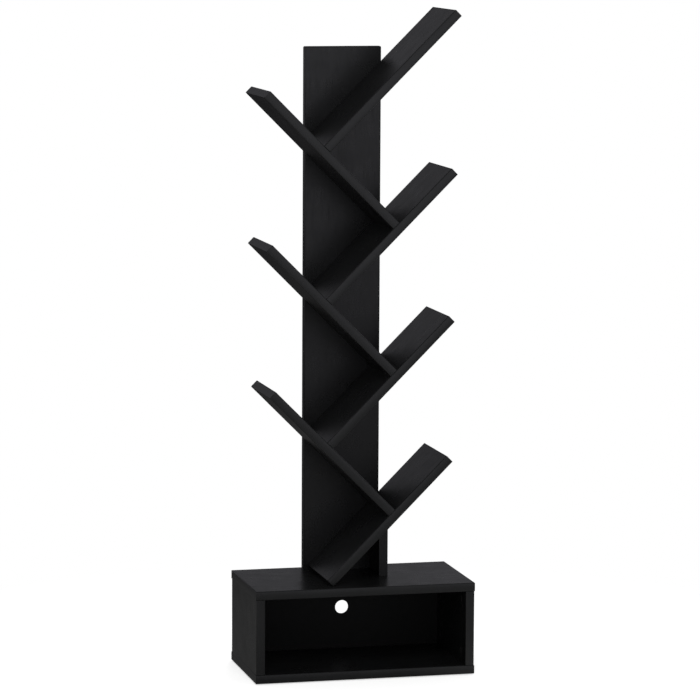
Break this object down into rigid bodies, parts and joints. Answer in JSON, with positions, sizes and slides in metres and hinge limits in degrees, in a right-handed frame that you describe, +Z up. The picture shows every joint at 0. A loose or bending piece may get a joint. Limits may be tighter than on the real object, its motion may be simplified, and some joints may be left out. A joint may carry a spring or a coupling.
{
  "type": "bookshelf",
  "caption": "Free-standing tree shaped bookshelf: slanted shelf boards zigzag up a narrow upright board on a low open base box.",
  "frame": {"origin": "on the floor, under the middle of the base box's footprint", "axes": "+Z up, -Y towards the open front of the base box and the shelves' front edges, +X to the right seen from the front"},
  "size_m": [0.48, 0.25, 1.4218],
  "materials": {
    "faced_board": "black melamine faced particle board, satin",
    "edge_band": "charcoal plastic edge banding, satin",
    "hardboard": "black painted hardboard, matte",
    "zinc_steel": "bright zinc plate",
    "felt_pad": "dark pressed felt"
  },
  "bodies": {
    "root": {"base_top": "faced_board", "base_bottom": "faced_board", "base_side_left": "faced_board", "base_side_right": "faced_board", "trunk": "faced_board", "foot_brace": "faced_board", "rising_shelf_1": "faced_board", "rising_shelf_2": "faced_board", "rising_shelf_3": "faced_board", "rising_shelf_4": "faced_board", "falling_shelf_1": "faced_board", "falling_shelf_2": "faced_board", "falling_shelf_3": "faced_board", "base_back_panel": "hardboard", "base_top_edge_band": "edge_band", "base_bottom_edge_band": "edge_band", "base_side_left_front_edge_band": "edge_band", "base_side_left_rear_edge_band": "edge_band", "base_side_right_front_edge_band": "edge_band", "base_side_right_rear_edge_band": "edge_band", "trunk_edge_band": "edge_band", "foot_brace_edge_band": "edge_band", "rising_shelf_1_edge_band": "edge_band", "rising_shelf_2_edge_band": "edge_band", "rising_shelf_3_edge_band": "edge_band", "rising_shelf_4_edge_band": "edge_band", "falling_shelf_1_edge_band": "edge_band", "falling_shelf_2_edge_band": "edge_band", "falling_shelf_3_edge_band": "edge_band", "rising_shelf_1_screw_left": "zinc_steel", "rising_shelf_1_screw_right": "zinc_steel", "rising_shelf_2_screw_left": "zinc_steel", "rising_shelf_2_screw_right": "zinc_steel", "rising_shelf_3_screw_left": "zinc_steel", "rising_shelf_3_screw_right": "zinc_steel", "rising_shelf_4_screw_left": "zinc_steel", "rising_shelf_4_screw_right": "zinc_steel", "falling_shelf_1_screw_left": "zinc_steel", "falling_shelf_1_screw_right": "zinc_steel", "falling_shelf_2_screw_left": "zinc_steel", "falling_shelf_2_screw_right": "zinc_steel", "falling_shelf_3_screw_left": "zinc_steel", "falling_shelf_3_screw_right": "zinc_steel", "foot_brace_screw_low": "zinc_steel", "foot_brace_screw_high": "zinc_steel", "foot_brace_screw_under": "zinc_steel", "trunk_foot_screw_left": "zinc_steel", "trunk_foot_screw_right": "zinc_steel", "base_cam_lock_left_top_front": "zinc_steel", "base_cam_lock_left_top_rear": "zinc_steel", "base_cam_lock_left_bottom_front": "zinc_steel", "base_cam_lock_left_bottom_rear": "zinc_steel", "base_cam_lock_right_top_front": "zinc_steel", "base_cam_lock_right_top_rear": "zinc_steel", "base_cam_lock_right_bottom_front": "zinc_steel", "base_cam_lock_right_bottom_rear": "zinc_steel", "floor_glide_front_left": "felt_pad", "floor_glide_front_right": "felt_pad", "floor_glide_rear_left": "felt_pad", "floor_glide_rear_right": "felt_pad"}
  },
  "joints": []
}
